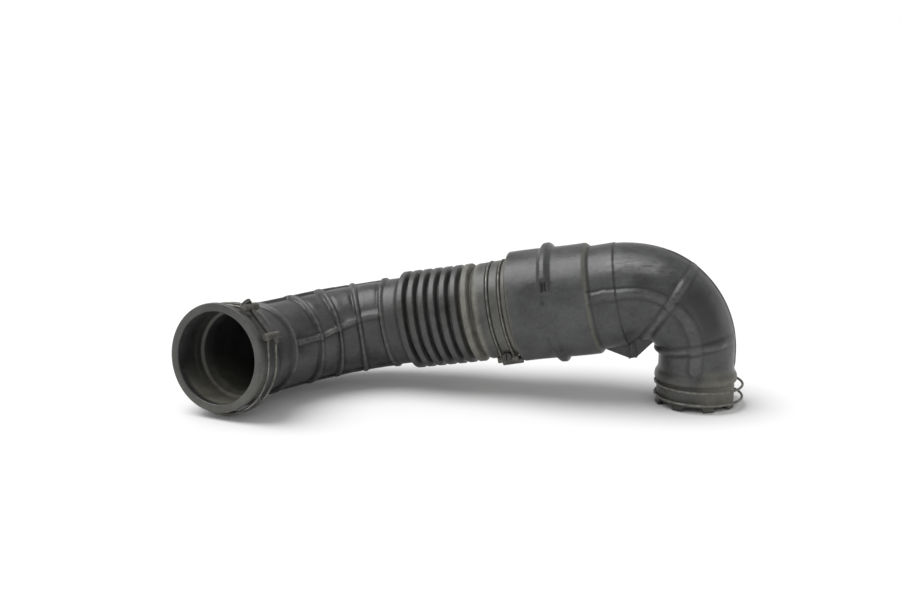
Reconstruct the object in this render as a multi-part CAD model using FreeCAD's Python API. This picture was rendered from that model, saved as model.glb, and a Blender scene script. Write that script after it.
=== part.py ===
import FreeCAD, Part
import math
import os

V = FreeCAD.Vector
Rotation = FreeCAD.Rotation
Placement = FreeCAD.Placement

# Route of the air path in mm and degrees. It stands on the outlet, climbs through
# the elbow, falls along a straight run and sweeps round to the open mouth.
outlet_rise = 38.2
elbow_bend_r = 48.0
run_heading = 14.0
run_slope = 11.85
sweep_bend_r = 98.5
sweep_bend_deg = 79.2
sweep_roll = 9.2

# Elbow duct: outlet cuff
duct_wall = 3.0
outlet_bore_r = 26.5
outlet_bore_depth = 28.0
outlet_seat_r = 29.6
outlet_seat_length = 20.0
outlet_bead_r = 31.4
outlet_bead_width = 5.0
outlet_neck_r = 30.0
rim_lug_count = 8
rim_lug_height = 3.4
rim_lug_width = 9.0
rim_lug_r = 31.0
rim_lug_root = 1.5

# Elbow duct: tube, keel and collar
tube_r = 40.4
tube_length = 22.7
tube_edge_step = 0.6
collar_r = 43.6
collar_length = 60.8
collar_chamfer_length = 6.4
collar_rib_height = 3.7
collar_rib_width = 7.0
collar_rib_place = 30.1
collar_rib_gap_top = 5.0
collar_rib_gap_bottom = -23.0
spigot_wall = 2.6
keel_depth = 8.5
keel_length = 38.0
keel_width = 8.0
keel_overlap = 4.0
keel_tip_share = 0.55
keel_ridge_width = 2.0
keel_ridge_height = 1.2
keel_ridge_pitch = 5.0

# Raised ribs of the elbow duct
duct_rib_height = 1.8
duct_rib_width = 4.2
duct_rib_root = 1.5
parting_rise = 16.0
elbow_ring_angles = (12.0, 58.0)
elbow_stations = 9

# Bellows hose: joint cuff and convolutions
hose_wall = 2.8
joint_gap = 1.2
joint_clearance = 0.1
joint_cuff_length = 26.0
joint_seat_r = 37.0
joint_cuff_r = 38.2
joint_seat_width = 3.4
joint_lip_width = 3.2
bellows_count = 7
bellows_pitch = 8.7
bellows_crest_r = 39.3
bellows_shoulder_r = 38.5
bellows_shoulder_half = 2.5
bellows_groove_r = 33.7
bellows_valley_length = 2.8
bellows_band_length = 6.4
bellows_band_rise = 2.2

# Bellows hose: ribbed sweep
sweep_tube_r = 35.5
sweep_ring_height = 2.4
sweep_band_height = 1.4
sweep_ring_width = 3.4
sweep_long_height = 1.9
sweep_long_width = 3.4
sweep_rib_root = 1.2
sweep_ring_shares = (0.07, 0.27, 0.45, 0.63, 0.93)
sweep_long_ribs = 4

# Bellows hose: mouth cuff
mouth_length = 48.5
mouth_bore_r = 34.5
mouth_bore_depth = 28.0
mouth_lip_r = 41.0
mouth_lip_width = 5.0
mouth_seat_r = 38.0
mouth_seat_width = 17.0
mouth_ridge_r = 39.6
mouth_ridge_width = 4.0
mouth_flare_length = 9.0

# Double wire screw clamps
wire_r = 0.95
wire_spacing = 9.6
wire_sides = 6
hoop_chords = 24
wire_clearance = 0.05
barrel_r = 2.8
barrel_overhang = 2.4
barrel_clearance = 0.3
screw_r = 1.9
screw_clearance = 0.15
screw_end = 4.0
head_r = 3.7
head_thickness = 2.6
slot_width = 0.9
slot_depth = 1.2

joint_clamp_gap = 70.0
joint_clamp_turn = -68.0
joint_clamp_slack = 0.0
mouth_clamp_gap = 84.0
mouth_clamp_turn = 33.0
mouth_clamp_slack = 2.15
mouth_clamp_hang = -105.0
outlet_clamp_gap = 84.0
outlet_clamp_turn = 180.0
outlet_clamp_slack = 2.6
outlet_clamp_hang = 80.0

# Stations along the straight run, counted from the upper end of the elbow
collar_start = tube_length
collar_end = collar_start + collar_length
hose_start = collar_end + joint_gap
joint_cuff_end = hose_start + joint_cuff_length
bellows_start = joint_cuff_end + bellows_valley_length + bellows_pitch / 2
bellows_end = bellows_start + (bellows_count - 1) * bellows_pitch
sweep_start = bellows_end + bellows_pitch / 2 + bellows_band_length
first_wire = hose_start + joint_lip_width + joint_seat_width / 2
spigot_stop = joint_cuff_end - hose_wall
spigot_end = spigot_stop - joint_gap

# Bores that follow from the walls and fits
cuff_bore_r = joint_seat_r - hose_wall
spigot_r = cuff_bore_r - joint_clearance
spigot_bore_r = spigot_r - spigot_wall
tube_bore_r = tube_r - duct_wall
sweep_bore_r = sweep_tube_r - hose_wall
elbow_turn = 90.0 + run_slope


def placed(shape, frame):
    moved = shape.copy()
    moved.Placement = frame.multiply(moved.Placement)
    return moved


def elbow_frame(angle):
    """Frame on the elbow: x runs along the path, y to the front, z to the outside."""
    turn = math.radians(angle)
    x = elbow_bend_r * (1 - math.cos(turn))
    z = outlet_rise + elbow_bend_r * math.sin(turn)
    stand = Placement(V(0, 0, 0), Rotation(V(0, 0, 1), 180 - run_heading))
    return stand.multiply(Placement(V(x, 0, z), Rotation(V(0, 1, 0), angle - 90)))


def sweep_frame(angle):
    """Frame on the sweep: x runs along the path, y to the bend's centre."""
    turn = math.radians(angle)
    start = run_frame.multiply(Placement(V(sweep_start, 0, 0), Rotation(V(1, 0, 0), sweep_roll)))
    x = sweep_bend_r * math.sin(turn)
    y = sweep_bend_r * (1 - math.cos(turn))
    return start.multiply(Placement(V(x, y, 0), Rotation(V(0, 0, 1), angle)))


outlet_frame = elbow_frame(0).multiply(Placement(V(-outlet_rise, 0, 0), Rotation()))
run_frame = elbow_frame(elbow_turn)
mouth_frame = sweep_frame(sweep_bend_deg)


def turned(profile, sweep=360):
    """Solid of revolution about x from (along, radius) corners."""
    corners = [V(x, 0, r) for x, r in profile]
    face = Part.Face(Part.makePolygon(corners + corners[:1]))
    return face.revolve(V(0, 0, 0), V(1, 0, 0), sweep)


def filled(outline):
    """Turned solid under an open outline, closed along the axis."""
    return turned([(outline[0][0], 0)] + outline + [(outline[-1][0], 0)])


def ring(middle, width, inner_r, outer_r):
    half = width / 2
    left = middle - half
    right = middle + half
    return turned([(left, inner_r), (left, outer_r), (right, outer_r), (right, inner_r)])


def polar(angle, radius, across=0.0):
    """Point of a cross-section: angle from the front (y) towards the top (z)."""
    turn = math.radians(angle)
    y = radius * math.cos(turn) - across * math.sin(turn)
    z = radius * math.sin(turn) + across * math.cos(turn)
    return V(0, y, z)


def rib_section(angle, inner_r, outer_r, width):
    half = width / 2
    corners = [polar(angle, inner_r, -half), polar(angle, outer_r, -half)]
    corners += [polar(angle, outer_r, half), polar(angle, inner_r, half)]
    return Part.makePolygon(corners + corners[:1])


def joined(shapes):
    whole = shapes[0]
    for shape in shapes[1:]:
        whole = whole.fuse(shape)
    return whole.removeSplitter()


def elbow_radius(angle):
    return outlet_neck_r + (tube_r - tube_edge_step - outlet_neck_r) * angle / elbow_turn


def elbow_angles():
    return [elbow_turn * i / (elbow_stations - 1) for i in range(elbow_stations)]


def elbow_loft(inset):
    """Tapering bend through circles that shrink towards the outlet."""
    wires = []
    for angle in elbow_angles():
        circle = Part.Wire(Part.makeCircle(elbow_radius(angle) - inset, V(0, 0, 0), V(1, 0, 0)))
        wires.append(placed(circle, elbow_frame(angle)))
    return Part.makeLoft(wires, True, False)


def parting_rib():
    """Raised moulding line that climbs the front of the elbow and runs to the collar."""
    wires = []
    for angle in elbow_angles():
        rise = parting_rise * angle / elbow_turn
        surface = elbow_radius(angle)
        section = rib_section(rise, surface - duct_rib_root, surface + duct_rib_height, duct_rib_width)
        wires.append(placed(section, elbow_frame(angle)))
    bend = Part.makeLoft(wires, True, False)
    root = outlet_neck_r - duct_rib_root
    flat = Part.Face(rib_section(0, root, outlet_neck_r + duct_rib_height, duct_rib_width))
    neck = placed(flat.extrude(V(outlet_seat_length - outlet_rise, 0, 0)), elbow_frame(0))
    root = tube_r - duct_rib_root
    flat = Part.Face(rib_section(parting_rise, root, tube_r + duct_rib_height, duct_rib_width))
    run = placed(flat.extrude(V(tube_length, 0, 0)), run_frame)
    return [bend, neck, run]


def keel():
    """Triangular web under the tube with two upright ridges on each cheek."""
    bottom = -tube_r - keel_depth
    back = tube_length - keel_overlap / 2
    tip = back - keel_length * keel_tip_share
    root = -tube_r + keel_overlap
    outline = [V(back, 0, root), V(back, 0, -tube_r), V(tip, 0, bottom), V(tip - keel_ridge_pitch, 0, bottom)]
    outline += [V(back - keel_length, 0, -tube_r - keel_overlap / 2), V(back - keel_length, 0, root)]
    web = Part.Face(Part.makePolygon(outline + outline[:1])).extrude(V(0, keel_width, 0))
    web.translate(V(0, -keel_width / 2, 0))
    pieces = [placed(web, run_frame)]
    ridge_width = keel_width + 2 * keel_ridge_height
    for place in (tip, tip - keel_ridge_pitch):
        corner = V(place - keel_ridge_width / 2, -ridge_width / 2, bottom)
        ridge = Part.makeBox(keel_ridge_width, ridge_width, root - bottom, corner)
        pieces.append(placed(ridge, run_frame))
    return pieces


def elbow_duct():
    bead_start = outlet_seat_length
    bead_end = bead_start + outlet_bead_width
    cuff = filled([(rim_lug_height, outlet_seat_r), (bead_start, outlet_seat_r), (bead_start, outlet_bead_r),
                   (bead_end, outlet_bead_r), (bead_end, outlet_neck_r), (outlet_rise, outlet_neck_r)])
    outer = [elbow_loft(0), placed(cuff, outlet_frame)]
    lug_length = rim_lug_height + rim_lug_root
    for i in range(rim_lug_count):
        corner = V(0, outlet_bore_r - duct_wall, -rim_lug_width / 2)
        lug = Part.makeBox(lug_length, 2 * duct_wall + rim_lug_r - outlet_bore_r, rim_lug_width, corner)
        lug = lug.common(Part.makeCylinder(rim_lug_r, lug_length, V(0, 0, 0), V(1, 0, 0)))
        lug.rotate(V(0, 0, 0), V(1, 0, 0), 360 * (i + 0.5) / rim_lug_count)
        outer.append(placed(lug, outlet_frame))

    body = filled([(0, tube_r), (collar_start - collar_chamfer_length, tube_r), (collar_start, collar_r),
                   (collar_end, collar_r), (collar_end, spigot_r), (spigot_end, spigot_r)])
    outer.append(placed(body, run_frame))
    middle = collar_start + collar_rib_place
    left = middle - collar_rib_width / 2
    right = middle + collar_rib_width / 2
    root = collar_r - duct_wall
    crown = collar_r + collar_rib_height
    gap = collar_rib_gap_top - collar_rib_gap_bottom
    rib = turned([(left, root), (left, crown), (right, crown), (right, root)], 360 - gap)
    rib.rotate(V(0, 0, 0), V(1, 0, 0), collar_rib_gap_top - 90)
    outer.append(placed(rib, run_frame))
    for angle in elbow_ring_angles:
        surface = elbow_radius(angle)
        hoop = ring(0, duct_rib_width, surface - duct_rib_root, surface + duct_rib_height)
        outer.append(placed(hoop, elbow_frame(angle)))
    outer += parting_rib()
    outer += keel()

    collar_bore_r = collar_r - duct_wall
    step = collar_end - duct_wall
    run_bore = filled([(0, tube_bore_r), (collar_start, tube_bore_r), (collar_start, collar_bore_r),
                       (step, collar_bore_r), (step, spigot_bore_r), (spigot_end, spigot_bore_r)])
    neck_bore_r = outlet_neck_r - duct_wall
    outlet_bore = filled([(0, outlet_bore_r), (outlet_bore_depth, outlet_bore_r),
                          (outlet_bore_depth, neck_bore_r), (outlet_rise, neck_bore_r)])
    hollow = [elbow_loft(duct_wall), placed(run_bore, run_frame), placed(outlet_bore, outlet_frame)]
    return joined(outer).cut(joined(hollow))


def hose_run_outline():
    """Outer outline of the joint cuff and the bellows."""
    seat_in = hose_start + joint_lip_width
    second = seat_in + wire_spacing
    outline = [(hose_start, joint_cuff_r)]
    for start in (seat_in, second):
        outline += [(start, joint_cuff_r), (start, joint_seat_r)]
        outline += [(start + joint_seat_width, joint_seat_r), (start + joint_seat_width, joint_cuff_r)]
    outline.append((joint_cuff_end, joint_cuff_r))
    for i in range(bellows_count):
        crest = bellows_start + i * bellows_pitch
        outline.append((crest - bellows_pitch / 2, bellows_groove_r))
        outline.append((crest - bellows_shoulder_half, bellows_shoulder_r))
        outline.append((crest, bellows_crest_r))
        outline.append((crest + bellows_shoulder_half, bellows_shoulder_r))
    outline.append((bellows_end + bellows_pitch / 2, bellows_groove_r))
    band_r = sweep_tube_r + sweep_band_height
    outline.append((sweep_start - bellows_band_length + bellows_band_rise, band_r))
    outline.append((sweep_start, band_r))
    return outline


def hose_run_bore():
    """Inner outline: cuff bore for the spigot, then folds that follow the bellows."""
    fold_r = bellows_groove_r - hose_wall
    outline = [(hose_start, cuff_bore_r), (spigot_stop, cuff_bore_r), (spigot_stop, fold_r)]
    for i in range(bellows_count):
        crest = bellows_start + i * bellows_pitch
        outline.append((crest - bellows_pitch / 2, fold_r))
        outline.append((crest, bellows_crest_r - hose_wall))
    outline.append((bellows_end + bellows_pitch / 2, fold_r))
    outline.append((sweep_start, sweep_bore_r))
    return outline


def sweep_solid(radius, degrees=sweep_bend_deg):
    disc = Part.Face(Part.Wire(Part.makeCircle(radius, V(0, 0, 0), V(1, 0, 0))))
    bend = disc.revolve(V(0, sweep_bend_r, 0), V(0, 0, 1), degrees)
    return placed(bend, sweep_frame(0))


def sweep_ribs():
    """Ring ribs, the plain band before the first and lengthwise ribs between first and last."""
    root = sweep_tube_r - sweep_rib_root
    ribs = []
    for share in sweep_ring_shares:
        hoop = ring(0, sweep_ring_width, root, sweep_tube_r + sweep_ring_height)
        ribs.append(placed(hoop, sweep_frame(share * sweep_bend_deg)))
    first = sweep_ring_shares[0] * sweep_bend_deg
    ribs.append(sweep_solid(sweep_tube_r + sweep_band_height, first))
    length = sweep_ring_shares[-1] * sweep_bend_deg - first
    for i in range(sweep_long_ribs):
        angle = 360 * i / sweep_long_ribs
        section = Part.Face(rib_section(angle, root, sweep_tube_r + sweep_long_height, sweep_long_width))
        rib = section.revolve(V(0, sweep_bend_r, 0), V(0, 0, 1), length)
        ribs.append(placed(rib, sweep_frame(first)))
    return ribs


def bellows_hose():
    lip_start = mouth_length - mouth_lip_width
    seat_start = lip_start - mouth_seat_width
    ridge_start = seat_start - mouth_ridge_width
    flare_start = ridge_start - mouth_flare_length
    mouth = filled([(0, sweep_tube_r), (flare_start, sweep_tube_r), (ridge_start, mouth_ridge_r),
                    (seat_start, mouth_ridge_r), (seat_start, mouth_seat_r), (lip_start, mouth_seat_r),
                    (lip_start, mouth_lip_r), (mouth_length, mouth_lip_r)])
    run = placed(filled(hose_run_outline()), run_frame)
    outer = [sweep_solid(sweep_tube_r), run, placed(mouth, mouth_frame)]
    outer += sweep_ribs()
    bore_start = mouth_length - mouth_bore_depth
    mouth_bore = filled([(0, sweep_bore_r), (bore_start, sweep_bore_r),
                         (bore_start, mouth_bore_r), (mouth_length, mouth_bore_r)])
    run_bore = placed(filled(hose_run_bore()), run_frame)
    hollow = [sweep_solid(sweep_bore_r), run_bore, placed(mouth_bore, mouth_frame)]
    return joined(outer).cut(joined(hollow))


def wire_hoop(place, hoop_r, half_gap, barrel_seat):
    """One hoop of the clamp wire: chords round the cuff and a straight tail to each barrel."""
    arc = 360 - 2 * half_gap
    points = [polar(half_gap + arc * i / hoop_chords, hoop_r) for i in range(hoop_chords + 1)]
    tail = (barrel_seat - hoop_r * math.cos(math.radians(half_gap))) / math.sin(math.radians(half_gap))
    ends = []
    for side in (1, -1):
        ends.append(polar(side * half_gap, hoop_r, -side * tail))
    path = Part.makePolygon([ends[0]] + points + [ends[1]])
    start = ends[0]
    along = (points[0] - start).normalize()
    across = V(1, 0, 0).cross(along)
    corners = []
    for i in range(wire_sides):
        turn = 2 * math.pi * i / wire_sides
        corners.append(start + V(1, 0, 0) * wire_r * math.cos(turn) + across * wire_r * math.sin(turn))
    section = Part.makePolygon(corners + corners[:1])
    hoop = Part.Wire(path).makePipeShell([section], True, False, 1)
    hoop.translate(V(place, 0, 0))
    return hoop, ends


def screw_clamp(name, frame, seat_r, crown_r, gap, turn, slack, hang):
    """Two wire hoops, a plain barrel, a threaded barrel nut and the screw between them."""
    half_gap = gap / 2
    chord_half = math.radians((360 - gap) / hoop_chords / 2)
    hoop_r = (seat_r + wire_clearance + slack + wire_r) / math.cos(chord_half)
    barrel_seat = crown_r + slack + barrel_r + barrel_clearance
    drop = polar(hang - turn, slack)
    hoops = []
    for place in (-wire_spacing / 2, wire_spacing / 2):
        hoop, ends = wire_hoop(place, hoop_r, half_gap, barrel_seat)
        hoops.append(hoop)
    head_end, nut_end = ends
    length = wire_spacing + 2 * (wire_r + barrel_overhang)
    shank_start = head_end.z + barrel_r
    shank = nut_end.z - barrel_r - screw_end
    axis = V(0, 0, 1)
    screw = Part.makeCylinder(screw_r, shank_start - shank, V(0, barrel_seat, shank), axis)
    head = Part.makeCylinder(head_r, head_thickness, V(0, barrel_seat, shank_start), axis)
    slot_corner = V(-slot_width / 2, barrel_seat - head_r, shank_start + head_thickness - slot_depth)
    slot = Part.makeBox(slot_width, 2 * head_r, slot_depth, slot_corner)
    screw = screw.fuse(head.cut(slot)).removeSplitter()

    pieces = {"wires": Part.makeCompound(hoops), "screw": screw}
    for part, end in (("barrel", head_end), ("nut", nut_end)):
        barrel = Part.makeCylinder(barrel_r, length, V(-length / 2, end.y, end.z), V(1, 0, 0))
        hole_r = screw_r + (screw_clearance if part == "barrel" else 0)
        hole = Part.makeCylinder(hole_r, 4 * barrel_r, V(0, end.y, end.z - 2 * barrel_r), axis)
        pieces[part] = barrel.cut(hole).cut(pieces["wires"])
    seat = frame.multiply(Placement(V(0, 0, 0), Rotation(V(1, 0, 0), turn)))
    seat = seat.multiply(Placement(drop, Rotation()))
    return {name + "_clamp_" + part: placed(shape, seat) for part, shape in pieces.items()}


def shifted(frame, along):
    return frame.multiply(Placement(V(along, 0, 0), Rotation()))


pieces = {"bellows_hose": bellows_hose(), "elbow_duct": elbow_duct()}
joint_middle = first_wire + wire_spacing / 2
pieces.update(screw_clamp("joint", shifted(run_frame, joint_middle), joint_seat_r, joint_cuff_r,
                          joint_clamp_gap, joint_clamp_turn, joint_clamp_slack, 0.0))
mouth_middle = mouth_length - mouth_lip_width - mouth_seat_width / 2
pieces.update(screw_clamp("mouth", shifted(mouth_frame, mouth_middle), mouth_seat_r, mouth_seat_r,
                          mouth_clamp_gap, mouth_clamp_turn, mouth_clamp_slack, mouth_clamp_hang))
outlet_middle = rim_lug_height + (outlet_seat_length - rim_lug_height) / 2
pieces.update(screw_clamp("outlet", shifted(outlet_frame, outlet_middle), outlet_seat_r, outlet_seat_r,
                          outlet_clamp_gap, outlet_clamp_turn, outlet_clamp_slack, outlet_clamp_hang))

os.makedirs("parts", exist_ok=True)
for node, shape in pieces.items():
    shape.exportStep("parts/" + node + ".step")
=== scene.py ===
import bmesh
import bpy
import math
import numpy as np
from mathutils import Matrix, Vector


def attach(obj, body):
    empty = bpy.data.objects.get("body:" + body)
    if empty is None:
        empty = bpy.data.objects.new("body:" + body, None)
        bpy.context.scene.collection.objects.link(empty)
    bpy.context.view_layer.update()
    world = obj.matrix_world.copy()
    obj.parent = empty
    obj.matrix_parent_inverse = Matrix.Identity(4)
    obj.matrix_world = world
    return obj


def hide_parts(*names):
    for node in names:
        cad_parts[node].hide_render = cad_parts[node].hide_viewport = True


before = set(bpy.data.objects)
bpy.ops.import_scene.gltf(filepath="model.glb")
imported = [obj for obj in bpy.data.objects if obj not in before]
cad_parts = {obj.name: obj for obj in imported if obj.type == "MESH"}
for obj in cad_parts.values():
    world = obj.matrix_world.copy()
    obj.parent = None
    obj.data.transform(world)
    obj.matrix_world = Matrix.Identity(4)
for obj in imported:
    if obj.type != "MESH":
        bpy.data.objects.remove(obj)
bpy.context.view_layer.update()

print("frame loaded")
mm = 0.001  # lengths below are in millimetres, angles in degrees


# one wrapped socket, so shader maths reads as plain expressions
class Sock:
    def __init__(self, tree, out):
        self.tree = tree
        self.out = out

    def node(self, kind, settings=None, inputs=None, pick=0):
        made = self.tree.nodes.new(kind)
        for key, value in (settings or {}).items():
            setattr(made, key, value)
        for key, value in (inputs or {}).items():
            feed(self.tree, made.inputs[key], value)
        return Sock(self.tree, made.outputs[pick])

    def math(self, operation, first, second):
        return self.node("ShaderNodeMath", {"operation": operation}, {0: first, 1: second})

    def clamped(self):
        return self.node("ShaderNodeClamp", None, {0: self})

    def __add__(self, other):
        return self.math("ADD", self, other)

    def __radd__(self, other):
        return self.math("ADD", other, self)

    def __sub__(self, other):
        return self.math("SUBTRACT", self, other)

    def __rsub__(self, other):
        return self.math("SUBTRACT", other, self)

    def __mul__(self, other):
        return self.math("MULTIPLY", self, other)

    def __rmul__(self, other):
        return self.math("MULTIPLY", other, self)


def feed(tree, socket, value):
    if isinstance(value, Sock):
        tree.links.new(value.out, socket)
    elif socket.type == "RGBA" and len(value) == 3:
        socket.default_value = (*value, 1)
    else:
        socket.default_value = value


def startMaterial(name):
    material = bpy.data.materials.new(name)
    material.use_nodes = True
    tree = material.node_tree
    coords = tree.nodes.new("ShaderNodeTexCoord")
    return material, tree.nodes["Principled BSDF"], Sock(tree, coords.outputs["Object"])


def noise(coords, scale, detail, roughness):
    inputs = {"Vector": coords, "Scale": scale, "Detail": detail, "Roughness": roughness}
    return coords.node("ShaderNodeTexNoise", None, inputs)


def ramp(value, low, high):
    return value.node("ShaderNodeMapRange", None, {0: value, 1: low, 2: high, 3: 0.0, 4: 1.0})


# a mask of patches: none where the noise is under low, full where it is over high
def patches(coords, scale, detail, roughness, low, high):
    return ramp(noise(coords, scale, detail, roughness), low, high)


def mixColour(mask, first, second):
    return mask.node("ShaderNodeMix", {"data_type": "RGBA"}, {0: mask, 6: first, 7: second}, 2)


# a mark painted on the mesh, thinned out between the patches to its least share
def paintedMark(coords, name, patch, least):
    painted = coords.node("ShaderNodeAttribute", {"attribute_name": name}, None, 2)  # its factor
    return (painted * (least + patch * (1 - least))).clamped()


def bump(height, strength, distance, normal=None):
    inputs = {"Height": height, "Strength": strength, "Distance": distance}
    if normal is not None:
        inputs["Normal"] = normal
    return height.node("ShaderNodeBump", None, inputs)


# the dirt colours also paint shade in grooves, at rib feet, at steps and in recesses
# the scuff colours also paint highlights on the rib tops
rubberFinish = {
    "hose": {"dark": (0.019, 0.0195, 0.0195), "light": (0.064, 0.065, 0.0635), "dust": (0.18, 0.175, 0.145),
             "dirtAndShade": (0.006, 0.006, 0.006), "scuff": (0.11, 0.11, 0.106), "rough": 0.33, "grain": 0.16},
    "duct": {"dark": (0.018, 0.0185, 0.0195), "light": (0.062, 0.0635, 0.065), "dust": (0.175, 0.168, 0.128),
             "dirtAndShade": (0.006, 0.006, 0.006), "scuff": (0.19, 0.19, 0.188), "rough": 0.33, "grain": 0.16},
    # noise: scale, detail, roughness and, for patches, low and high
    "blotch": (46.0, 6.0, 0.65, 0.36, 0.64),  # broad handling marks
    "speck": (420.0, 3.0, 0.6, 0.45, 0.75), "speckShare": 0.25,
    "dustPatch": (120.0, 6.0, 0.7, 0.28, 0.66), "dustLeast": 0.35,
    "streak": (240.0, 5.0, 0.7, 0.4, 0.68), "streakStretch": (0.3, 1.0, 1.0), "scuffAndHighlightLeast": 0.15,
    "grimeAndShadeLeast": 0.6,
    "blotchRough": 0.12, "dustRough": 0.28, "scuffAndHighlightRough": 0.18, "speckGloss": 0.05,
    "grainNoise": (1500.0, 2.0, 0.5), "grainDepth": 0.0004,
    "swellNoise": (70.0, 3.0, 0.5), "swell": 0.3, "swellDepth": 0.002,  # depths of bump in metres
}


def rubberMaterial(name, look):
    r = rubberFinish
    material, shader, coords = startMaterial(name)
    blotch = patches(coords, *r["blotch"])
    speck = patches(coords, *r["speck"])
    mottle = blotch * (1 - r["speckShare"]) + speck * r["speckShare"]
    skin = mixColour(mottle, look["dark"], look["light"])
    # dust; on the floor of the hose's bore this mark also paints light
    dusty = paintedMark(coords, "dust", patches(coords, *r["dustPatch"]), r["dustLeast"])
    skin = mixColour(dusty, skin, look["dust"])
    # scuffs, and the painted highlights on rib tops, are drawn out along the duct
    drawnOut = coords.node("ShaderNodeMapping", None, {"Vector": coords, "Scale": r["streakStretch"]})
    scuffAndHighlightMask = paintedMark(coords, "scuff", patches(drawnOut, *r["streak"]), r["scuffAndHighlightLeast"])
    skin = mixColour(scuffAndHighlightMask, skin, look["scuff"])
    # grime, and painted shade in grooves, at rib feet and steps, in recesses and deep in the bore
    grimeAndShadeMask = paintedMark(coords, "grime", blotch, r["grimeAndShadeLeast"])
    skin = mixColour(grimeAndShadeMask, skin, look["dirtAndShade"])
    feed(coords.tree, shader.inputs["Base Color"], skin)
    rough = look["rough"] + blotch * r["blotchRough"] + dusty * r["dustRough"]
    rough = rough + scuffAndHighlightMask * r["scuffAndHighlightRough"] - speck * r["speckGloss"]
    feed(coords.tree, shader.inputs["Roughness"], rough.clamped())
    grain = bump(noise(coords, *r["grainNoise"]), look["grain"], r["grainDepth"])
    swell = bump(noise(coords, *r["swellNoise"]), r["swell"], r["swellDepth"], grain)
    feed(coords.tree, shader.inputs["Normal"], swell)
    return material


steelFinish = {
    "wire": {"bright": (0.24, 0.235, 0.215), "dull": (0.055, 0.052, 0.046), "rough": 0.40, "metal": 0.8},
    "fitting": {"bright": (0.18, 0.175, 0.16), "dull": (0.05, 0.047, 0.041), "rough": 0.36, "metal": 0.85},
    "screw": {"bright": (0.13, 0.127, 0.12), "dull": (0.026, 0.026, 0.024), "rough": 0.34, "metal": 0.8},
    "patch": (180.0, 5.0, 0.65, 0.35, 0.68), "patchRough": 0.25, "patchMetal": 0.45,
    "fine": (900.0, 3.0, 0.6), "fineShare": 0.2, "fineRough": 0.1, "fineBump": 0.2, "fineDepth": 0.0002,
}


def steelMaterial(name, look):
    s = steelFinish
    material, shader, coords = startMaterial(name)
    patch = patches(coords, *s["patch"])
    fine = noise(coords, *s["fine"])
    tarnish = patch * (1 - s["fineShare"]) + fine * s["fineShare"]
    feed(coords.tree, shader.inputs["Base Color"], mixColour(tarnish, look["bright"], look["dull"]))
    rough = look["rough"] + patch * s["patchRough"] + fine * s["fineRough"]
    feed(coords.tree, shader.inputs["Roughness"], rough.clamped())
    feed(coords.tree, shader.inputs["Metallic"], (look["metal"] - patch * s["patchMetal"]).clamped())
    feed(coords.tree, shader.inputs["Normal"], bump(fine, s["fineBump"], s["fineDepth"]))
    return material


hoseRubber = rubberMaterial("hoseRubber", rubberFinish["hose"])
ductRubber = rubberMaterial("ductRubber", rubberFinish["duct"])
wireSteel = steelMaterial("wireSteel", steelFinish["wire"])
fittingSteel = steelMaterial("fittingSteel", steelFinish["fitting"])
screwSteel = steelMaterial("screwSteel", steelFinish["screw"])
print("materials ready")

# route of the air path, the same driving sizes as the solids
route = {"outletRise": 38.2, "elbowR": 48.0, "heading": 14.0, "slope": 11.85,
         "sweepR": 98.5, "sweepDeg": 79.2, "sweepRoll": 9.2}

stand = Matrix.Rotation(math.radians(180 - route["heading"]), 4, "Z")
elbowTurn = 90 + route["slope"]


def elbowFrame(angle):
    turn = math.radians(angle)
    x = route["elbowR"] * (1 - math.cos(turn))
    z = route["outletRise"] + route["elbowR"] * math.sin(turn)
    return stand @ Matrix.Translation((x, 0, z)) @ Matrix.Rotation(math.radians(angle - 90), 4, "Y")


def along(matrix, distance):
    return matrix @ Matrix.Translation((distance, 0, 0))


runFrame = elbowFrame(elbowTurn)


def smooth(low, high, value):
    t = np.clip((value - low) / (high - low), 0.0, 1.0)
    return t * t * (3 - 2 * t)


# rises over the ends of the first pair and falls again over the second
def hump(rise, fall, value):
    return smooth(*rise, value) * (1 - smooth(*fall, value))


# 1 inside the width, falling softly to 0 outside it
def ridge(distance, width, soft):
    return 1 - smooth(width / 2 - soft / 2, width / 2 + soft / 2, np.abs(distance))


# a ridge given as its shift, width and softness
def strip(distance, shape):
    shift, width, soft = shape
    return ridge(distance - shift, width, soft)


def highest(shapes):
    return np.maximum.reduce(list(shapes))


# a mark that is full where the share is, and never under its least value
def atLeast(least, share):
    return least + (1 - least) * share


def turnGap(angles, middle):
    return np.abs((angles - middle + 180) % 360 - 180)


def turnSine(turn):
    return np.sin(np.radians(turn))


profile = {"roundShare": 0.45, "roundSteps": 4}  # a rounding takes at most this share of the lines beside it


# corners (along, radius, rounding) become a line of points no further apart than step
def roundedLine(corners, step):
    line = []
    for i, (x, r, rounding) in enumerate(corners):
        here = np.array([x, r])
        if i in (0, len(corners) - 1) or rounding <= 0:
            line.append(here)
            continue
        before = np.array(corners[i - 1][:2]) - here
        after = np.array(corners[i + 1][:2]) - here
        lengths = np.linalg.norm(before), np.linalg.norm(after)
        cut = min(rounding, profile["roundShare"] * min(lengths))
        start = here + before / lengths[0] * cut
        end = here + after / lengths[1] * cut
        for k in range(profile["roundSteps"] + 1):
            t = k / profile["roundSteps"]
            line.append((1 - t) ** 2 * start + 2 * t * (1 - t) * here + t * t * end)
    dense = [line[0]]
    for point in line[1:]:
        last = dense[-1]
        pieces = max(1, int(math.ceil(abs(point[0] - last[0]) / step)))
        dense += [last + (point - last) * k / pieces for k in range(1, pieces + 1)]
    return np.array(dense)


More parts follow.
